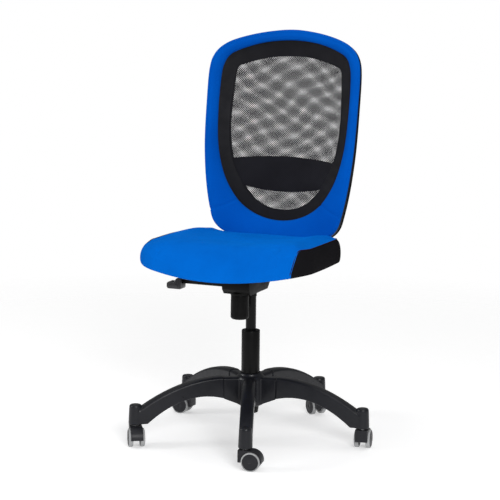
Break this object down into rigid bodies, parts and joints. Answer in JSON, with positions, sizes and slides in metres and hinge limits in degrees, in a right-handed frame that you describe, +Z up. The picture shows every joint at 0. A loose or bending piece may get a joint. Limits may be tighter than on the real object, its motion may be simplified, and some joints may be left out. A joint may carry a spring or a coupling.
{
  "type": "swivel office chair",
  "caption": "Armless swivel office chair: star base on twin-wheel casters, gas column, tilting seat and mesh back in a padded ring.",
  "frame": {"origin": "on the floor, on the axis of the column", "axes": "+Z up; -Y is the front, where the sitter faces; +X is the sitter's left"},
  "size_m": [0.6572, 0.6735, 1.1],
  "materials": {
    "base_plastic": "satin moulded",
    "wheel_plastic": "satin moulded",
    "tread": "soft grey tread",
    "steel": "zinc plated",
    "column_black": "semi-gloss powder coat",
    "bush_plastic": "plain",
    "mechanism_black": "satin powder coat",
    "knob_plastic": "fine moulded grain",
    "seat_pan": "plain moulded",
    "frame_plastic": "plain moulded",
    "blue_fabric": "close woven polyester",
    "black_fabric": "close woven polyester",
    "mesh": "open diagonal mesh"
  },
  "bodies": {
    "base": {"base_hub": "base_plastic", "leg_1": "base_plastic", "leg_2": "base_plastic", "leg_3": "base_plastic", "leg_4": "base_plastic", "leg_5": "base_plastic", "column_outer_tube": "column_black", "column_guide_bush": "bush_plastic"},
    "column_rod": {"column_piston_rod": "steel"},
    "mechanism": {"column_gas_spring": "column_black", "tilt_housing": "mechanism_black", "mechanism_pins": "steel", "tension_spring": "steel"},
    "release_pin": {"column_release_pin": "steel"},
    "lever_slider": {"lever_pivot_bush": "bush_plastic"},
    "lever": {"height_lever": "mechanism_black", "lever_paddle": "knob_plastic"},
    "knob": {"tension_knob": "knob_plastic"},
    "spring_plate": {"tension_nut": "steel"},
    "seat": {"seat_carrier": "mechanism_black", "seat_shell": "seat_pan", "seat_cushion": "blue_fabric", "back_bracket": "mechanism_black", "back_frame": "frame_plastic", "back_cover": "blue_fabric", "back_mesh_front": "mesh", "back_mesh_rear": "mesh", "lumbar_pad": "black_fabric", "back_rear_cover": "black_fabric", "screws": "steel"},
    "caster_1": {"caster_1_hood": "base_plastic", "caster_1_pins": "steel"},
    "caster_1_left": {"caster_1_wheel_left": "wheel_plastic", "caster_1_tyre_left": "tread"},
    "caster_1_right": {"caster_1_wheel_right": "wheel_plastic", "caster_1_tyre_right": "tread"},
    "caster_2": {"caster_2_hood": "base_plastic", "caster_2_pins": "steel"},
    "caster_2_left": {"caster_2_wheel_left": "wheel_plastic", "caster_2_tyre_left": "tread"},
    "caster_2_right": {"caster_2_wheel_right": "wheel_plastic", "caster_2_tyre_right": "tread"},
    "caster_3": {"caster_3_hood": "base_plastic", "caster_3_pins": "steel"},
    "caster_3_left": {"caster_3_wheel_left": "wheel_plastic", "caster_3_tyre_left": "tread"},
    "caster_3_right": {"caster_3_wheel_right": "wheel_plastic", "caster_3_tyre_right": "tread"},
    "caster_4": {"caster_4_hood": "base_plastic", "caster_4_pins": "steel"},
    "caster_4_left": {"caster_4_wheel_left": "wheel_plastic", "caster_4_tyre_left": "tread"},
    "caster_4_right": {"caster_4_wheel_right": "wheel_plastic", "caster_4_tyre_right": "tread"},
    "caster_5": {"caster_5_hood": "base_plastic", "caster_5_pins": "steel"},
    "caster_5_left": {"caster_5_wheel_left": "wheel_plastic", "caster_5_tyre_left": "tread"},
    "caster_5_right": {"caster_5_wheel_right": "wheel_plastic", "caster_5_tyre_right": "tread"}
  },
  "joints": [
    {"name": "seat_swivel", "type": "hinge", "parent": "base", "child": "column_rod", "pos_m": [0, 0, 0.0725], "axis": [0, 0, 1], "continuous": true},
    {"name": "height_lift", "type": "slide", "parent": "column_rod", "child": "mechanism", "axis": [0, 0, 1], "range_m": [-0.09, 0.01]},
    {"name": "seat_tilt", "type": "hinge", "parent": "mechanism", "child": "seat", "pos_m": [0, 0.01, 0.446], "axis": [-1, 0, 0], "range_deg": [0, 15], "stiffness_Nm_per_rad": 160, "springref_deg": -14.32},
    {"name": "knob_turn", "type": "hinge", "parent": "mechanism", "child": "knob", "pos_m": [0, -0.077, 0.378], "axis": [0, 0, 1], "range_deg": [-540, 540]},
    {"name": "spring_plate_climb", "type": "slide", "parent": "knob", "child": "spring_plate", "axis": [0, 0, 1], "range_m": [-0.004, 0.004], "deforming": ["tension_spring"]},
    {"name": "tilt_lock_slide", "type": "slide", "parent": "mechanism", "child": "lever_slider", "axis": [-1, 0, 0], "range_m": [0, 0.006]},
    {"name": "lever_lift", "type": "hinge", "parent": "lever_slider", "child": "lever", "pos_m": [-0.037, -0.06, 0.43], "axis": [0, 1, 0], "range_deg": [0, 6], "stiffness_Nm_per_rad": 1, "springref_deg": -34.38},
    {"name": "release_pin_press", "type": "slide", "parent": "mechanism", "child": "release_pin", "axis": [0, 0, 1], "range_m": [-0.0042, 0]},
    {"name": "caster_1_swivel", "type": "hinge", "parent": "base", "child": "caster_1", "pos_m": [0.11468, -0.29875, 0.08], "axis": [0, 0, 1], "continuous": true},
    {"name": "caster_1_left_roll", "type": "hinge", "parent": "caster_1", "child": "caster_1_left", "pos_m": [0.13142, -0.29579, 0.025], "axis": [-0.1736, 0.9848, 0], "continuous": true},
    {"name": "caster_1_right_roll", "type": "hinge", "parent": "caster_1", "child": "caster_1_right", "pos_m": [0.13142, -0.29579, 0.025], "axis": [-0.1736, 0.9848, 0], "continuous": true},
    {"name": "caster_2_swivel", "type": "hinge", "parent": "base", "child": "caster_2", "pos_m": [0.31956, 0.01675, 0.08], "axis": [0, 0, 1], "continuous": true},
    {"name": "caster_2_left_roll", "type": "hinge", "parent": "caster_2", "child": "caster_2_left", "pos_m": [0.3169, 0.03354, 0.025], "axis": [-0.9877, -0.1564, 0], "continuous": true},
    {"name": "caster_2_right_roll", "type": "hinge", "parent": "caster_2", "child": "caster_2_right", "pos_m": [0.3169, 0.03354, 0.025], "axis": [-0.9877, -0.1564, 0], "continuous": true},
    {"name": "caster_3_swivel", "type": "hinge", "parent": "base", "child": "caster_3", "pos_m": [0.08282, 0.3091, 0.08], "axis": [0, 0, 1], "continuous": true},
    {"name": "caster_3_left_roll", "type": "hinge", "parent": "caster_3", "child": "caster_3_left", "pos_m": [0.0698, 0.32002, 0.025], "axis": [-0.6428, -0.766, 0], "continuous": true},
    {"name": "caster_3_right_roll", "type": "hinge", "parent": "caster_3", "child": "caster_3_right", "pos_m": [0.0698, 0.32002, 0.025], "axis": [-0.6428, -0.766, 0], "continuous": true},
    {"name": "caster_4_swivel", "type": "hinge", "parent": "base", "child": "caster_4", "pos_m": [-0.26837, 0.17428, 0.08], "axis": [0, 0, 1], "continuous": true},
    {"name": "caster_4_left_roll", "type": "hinge", "parent": "caster_4", "child": "caster_4_left", "pos_m": [-0.28536, 0.17488, 0.025], "axis": [-0.0349, -0.9994, 0], "continuous": true},
    {"name": "caster_4_right_roll", "type": "hinge", "parent": "caster_4", "child": "caster_4_right", "pos_m": [-0.28536, 0.17488, 0.025], "axis": [-0.0349, -0.9994, 0], "continuous": true},
    {"name": "caster_5_swivel", "type": "hinge", "parent": "base", "child": "caster_5", "pos_m": [-0.24869, -0.20138, 0.08], "axis": [0, 0, 1], "continuous": true},
    {"name": "caster_5_left_roll", "type": "hinge", "parent": "caster_5", "child": "caster_5_left", "pos_m": [-0.23943, -0.21564, 0.025], "axis": [0.8387, 0.5446, 0], "continuous": true},
    {"name": "caster_5_right_roll", "type": "hinge", "parent": "caster_5", "child": "caster_5_right", "pos_m": [-0.23943, -0.21564, 0.025], "axis": [0.8387, 0.5446, 0], "continuous": true}
  ],
  "couplings": [
    {"joint": "spring_plate_climb", "follows": "knob_turn", "m_per_rad": 0.0003979},
    {"joint": "release_pin_press", "follows": "lever_lift", "m_per_rad": -0.04}
  ]
}
